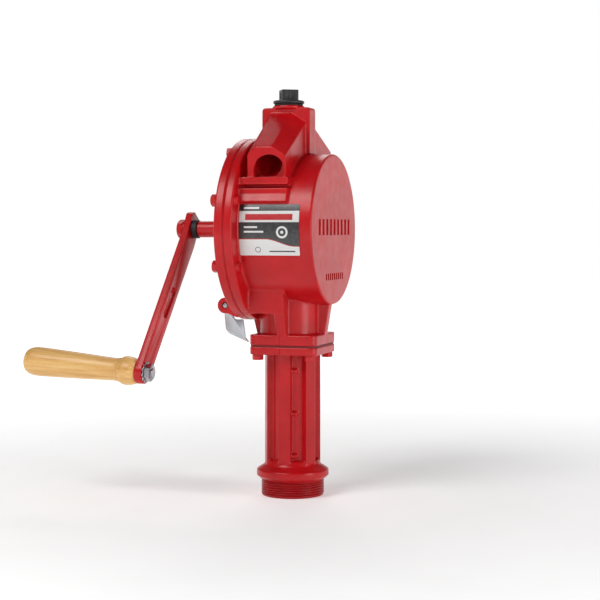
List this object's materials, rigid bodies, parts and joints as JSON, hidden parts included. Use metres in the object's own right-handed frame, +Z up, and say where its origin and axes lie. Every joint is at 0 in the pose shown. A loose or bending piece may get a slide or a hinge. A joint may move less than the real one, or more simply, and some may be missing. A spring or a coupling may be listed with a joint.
{
  "type": "rotary hand transfer pump",
  "caption": "Cast rotary vane hand pump with a side crank and turned wooden grip, slanted outlet tower, ribbed inlet column and male pipe thread for a drum bung.",
  "frame": {"origin": "column axis at the bung face, where the male thread meets the collar", "axes": "+Z up the column, +X along the pump shaft from the crank towards the closed end of the drum, -Y the front, where the outlet faces"},
  "size_m": [0.2809, 0.1919, 0.3885],
  "materials": {
    "red_paint": "gloss paint on sand casting",
    "black_plastic": "satin moulded plastic",
    "carbon": "carbon",
    "zinc": "bright zinc plate",
    "steel": "turned steel",
    "iron": "machined cast iron",
    "bronze": "turned bronze",
    "maple": "lacquered maple",
    "rubber": "matte",
    "fibre": "matte fibre",
    "label": "satin film"
  },
  "bodies": {
    "pump": {"pump_casing": "red_paint", "outlet_tower": "red_paint", "inlet_neck": "red_paint", "end_cover": "red_paint", "cover_gasket": "fibre", "cover_bolt_1": "red_paint", "cover_bolt_2": "red_paint", "cover_bolt_3": "red_paint", "cover_bolt_4": "red_paint", "cover_bolt_5": "red_paint", "cover_bolt_6": "red_paint", "cover_bolt_7": "red_paint", "cylinder_liner": "iron", "front_bush": "bronze", "rear_bush": "bronze", "shaft_packing": "fibre", "packing_nut": "steel", "name_plate": "label", "hanger_pin": "steel", "vent_seal": "rubber", "vent_cap": "black_plastic", "breaker_spring": "steel", "breaker_retainer": "black_plastic", "inlet_column": "red_paint", "flange_gasket": "rubber", "flange_bolt_1": "red_paint", "flange_bolt_2": "red_paint", "flange_bolt_3": "red_paint", "flange_bolt_4": "red_paint", "valve_seat": "bronze"},
    "crank": {"drive_shaft": "red_paint", "rotor": "iron", "vane_1": "carbon", "vane_2": "carbon", "vane_3": "carbon", "vane_4": "carbon", "crank_spacer": "black_plastic", "crank_arm": "red_paint", "crank_washer": "red_paint", "crank_screw": "red_paint", "handle_bolt": "zinc", "lock_washer": "zinc", "handle_nut": "zinc"},
    "grip": {"grip": "maple"},
    "hanger": {"nozzle_hanger": "zinc"},
    "check_valve": {"check_poppet": "bronze"},
    "vacuum_breaker": {"breaker_disc": "black_plastic"}
  },
  "joints": [
    {"name": "crank_spin", "type": "hinge", "parent": "pump", "child": "crank", "pos_m": [0, 0, 0.239], "axis": [1, 0, 0], "continuous": true},
    {"name": "grip_spin", "type": "hinge", "parent": "crank", "child": "grip", "pos_m": [-0.11653, -0.09119, 0.10632], "axis": [-0.9976, 0.0395, 0.0575], "continuous": true},
    {"name": "hanger_swing", "type": "hinge", "parent": "pump", "child": "hanger", "pos_m": [-0.0585, -0.019, 0.166], "axis": [0, 1, 0], "range_deg": [0, 80]},
    {"name": "check_lift", "type": "slide", "parent": "pump", "child": "check_valve", "axis": [0, 0, 1], "range_m": [0, 0.006]},
    {"name": "breaker_drop", "type": "slide", "parent": "pump", "child": "vacuum_breaker", "axis": [0, 0, -1], "range_m": [0, 0.003], "stiffness_N_per_m": 60, "springref_m": -0.004, "deforming": ["breaker_spring"]}
  ]
}
